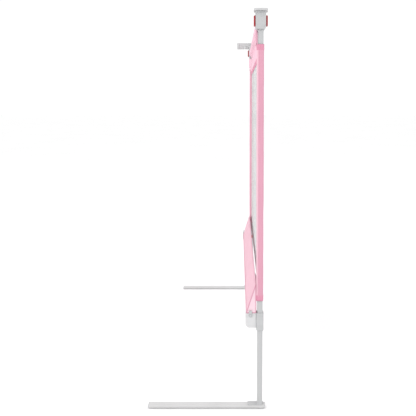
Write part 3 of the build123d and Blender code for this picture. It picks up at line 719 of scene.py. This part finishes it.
def skirt_wedge():
    """The padded wedge: three faces between sewn edges, the front one crowned, with a flat gusset at each
    end.
    """
    sides = ((0, 1, 16, WEDGE_CROWN), (1, 2, 14, 0.0), (2, 0, 5, 0.0))
    rows = []
    for y in steps(-SKIRT_END, SKIRT_END, 7 * MM):
        row = []
        corners = skirt_outline(y)
        from_end = (SKIRT_END - abs(y)) / END_FADE
        fade = math.sin(math.pi / 2 * min(1, from_end)) ** 0.6 if from_end > 0 else 0.0
        for first, last, count, crown in sides:
            a = corners[first]
            b = corners[last]
            edge = (b - a).normalized()
            normal = Vector((-edge.z, 0, edge.x))
            for i in range(count):
                t = i / count
                place = a.lerp(b, t)
                arch = (4 * t * (1 - t)) ** 0.75
                lift = crown * arch * fade * (0.75 + 0.5 * ripple(t * 2.2, y * 11, 0.5))
                row.append(place + normal * lift * MM)
        rows.append(row)
    piece = lattice("skirt_cloth", rows, pink_light_cloth, closed=True, thickness=0)
    close_ends(piece, len(rows[0]), len(rows))
    piece.data.materials.append(pink_pale_cloth)
    for polygon in piece.data.polygons:
        if abs(polygon.center.y) > SKIRT_END - 0.1 * MM:
            polygon.material_index = 1
            polygon.use_smooth = False
    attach(piece, "lower_rail")
    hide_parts("lower_skirt")


def skirt_wrap():
    """Cloth that goes from the wedge's lower edges round the lower tube."""
    radius = LOWER_X - SKIRT_LEFT
    rows = []
    for y in steps(-WRAP_END, WRAP_END, 7 * MM):
        row = []
        front = skirt_outline(y)[0].x - 0.6 * MM
        for z in steps(SKIRT_BASE, LOWER_Z, 4 * MM):
            rise = (z - LOWER_Z) / (SKIRT_BASE - LOWER_Z)
            row.append(Vector((LOWER_X - radius + (front - LOWER_X + radius) * rise, y, z)))
        for i in range(1, 24):
            angle = math.pi + math.pi * i / 24
            puff = radius + 0.25 * MM * ripple(math.cos(angle) * 2, y * 14, math.sin(angle) * 2)
            row.append(Vector((LOWER_X + puff * math.cos(angle), y, LOWER_Z + puff * math.sin(angle))))
        for z in steps(LOWER_Z, SKIRT_BASE, 4 * MM):
            row.append(Vector((LOWER_X + radius, y, z)))
        rows.append(row)
    piece = lattice("skirt_wrap_cloth", rows, pink_light_cloth, thickness=0.6 * MM, offset=0)
    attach(piece, "lower_rail")


def skirt_trim():
    """Welted edges of the wedge and its gussets, and the stitches beside them."""
    for index, label in enumerate(("front", "top", "back")):
        edge = tube_along(f"skirt_{label}_welt",
                          [skirt_outline(y)[index] for y in steps(-SKIRT_END, SKIRT_END, 12 * MM)],
                          WELT_RADIUS, pink_cloth if label == "front" else pink_light_cloth)
        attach(edge, "lower_rail")
    for end, side_name in ((-1, "near"), (1, "far")):
        loop = skirt_outline(end * SKIRT_END)
        for index in range(3):
            start = loop[index]
            stop = loop[(index + 1) % 3]
            welt = tube_along(f"{side_name}_gusset_welt_{index}",
                              [start.lerp(stop, t) for t in steps(0, 1, 0.2)], WELT_RADIUS, pink_cloth)
            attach(welt, "lower_rail")
    a, b = skirt_outline(0)[:2]
    slope = (b - a).normalized()
    normal = Vector((-slope.z, 0, slope.x))
    rows = []
    for distance, lift in ((4 * MM, 0.75), ((b - a).length - 4 * MM, 0.75)):
        place = a + slope * distance + normal * lift * MM
        rows.append((place + Vector((0, -SKIRT_END + END_FADE, 0)), place + Vector((0, SAG_START, 0)),
                     normal))
    stitches = stitch_rows("skirt_stitches", rows)
    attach(stitches, "lower_rail")


def skirt_tabs():
    """Strips that join the skirt's top edge to the panel's lower corners."""
    x0, x1 = tab_box[0][0], tab_box[1][0]
    high = tab_box[1][2] - 1 * MM
    low = tab_box[0][2]
    for side_name, start in (("near", tab_box[0][1]), ("far", SAG_START - TAB_LENGTH)):
        rows = []
        for y in steps(start, start + TAB_LENGTH, 5 * MM):
            row = []
            for t in steps(0, 1, 0.1):
                sag = 1.2 * MM * math.sin(math.pi * t) * (1 + 0.4 * ripple(t, y * 20, 0.2))
                row.append(Vector((x0 + (x1 - x0) * t, y, high + (low - high) * t - sag)))
            rows.append(row)
        piece = lattice(f"{side_name}_skirt_tab", rows, pink_light_cloth, thickness=0.8 * MM)
        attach(piece, "lower_rail")
        if side_name == "near":
            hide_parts("skirt_tabs")


# ---- floor, light and camera ---------------------------------------------------------
def studio():
    material, tree, shader, coordinates = new_material("floor_paper", 0.9)
    shades = ((0.3, (0.93, 0.93, 0.93)), (0.7, (0.95, 0.95, 0.95)))
    tree.links.new(ramp(tree, noise_node(tree, coordinates, 1.5), *shades), shader.inputs["Base Color"])
    size = 30
    outline = ((-size, -size), (size, -size), (size, size), (-size, size))
    corners = [Vector((x, y, -0.0005)) for x, y in outline]
    floor = make_object("floor", corners, [(0, 1, 2, 3)], [material], smooth=False)

    world = bpy.data.worlds.new("studio")
    bpy.context.scene.world = world
    world.use_nodes = True
    world.node_tree.nodes["Background"].inputs["Color"].default_value = (1, 1, 1, 1)
    world.node_tree.nodes["Background"].inputs["Strength"].default_value = 1.06

    area_light("key", (-1.6, -2.2, 2.4), 1.8, 20)
    area_light("fill", (2.2, -1.6, 1.6), 2.0, 5)
    area_light("top", (0.2, 0.4, 3.0), 2.4, 8)


def area_light(name, place, size, power):
    data = bpy.data.lights.new(name, "AREA")
    data.shape = "DISK"
    data.size = size
    data.energy = power
    light = bpy.data.objects.new(name, data)
    light.location = place
    light.rotation_euler = (Vector((0, 0, 0.45)) - Vector(place)).to_track_quat("-Z", "Y").to_euler()
    bpy.context.scene.collection.objects.link(light)


def camera():
    data = bpy.data.cameras.new("camera")
    data.lens = 54.22
    data.sensor_width = 36
    data.shift_x = -0.0745
    data.shift_y = -0.109
    eye = bpy.data.objects.new("camera", data)
    eye.location = (0.0681, -1.7211, 0.6523)
    eye.rotation_euler = (math.radians(90 - 5.524), 0, 0)
    bpy.context.scene.collection.objects.link(eye)
    bpy.context.scene.camera = eye


paint_cad()
for end, side_name in ((-1, "near"), (1, "far")):
    sleeve(end, side_name)
    side_band(end, side_name)
sleeve_stitches()
mesh_window()
mesh_bindings()
panel_stitches()
top_band()
band_corners()
top_binding()
skirt_wedge()
skirt_wrap()
skirt_trim()
skirt_tabs()
studio()
camera()
bpy.context.scene.view_settings.view_transform = "Standard"
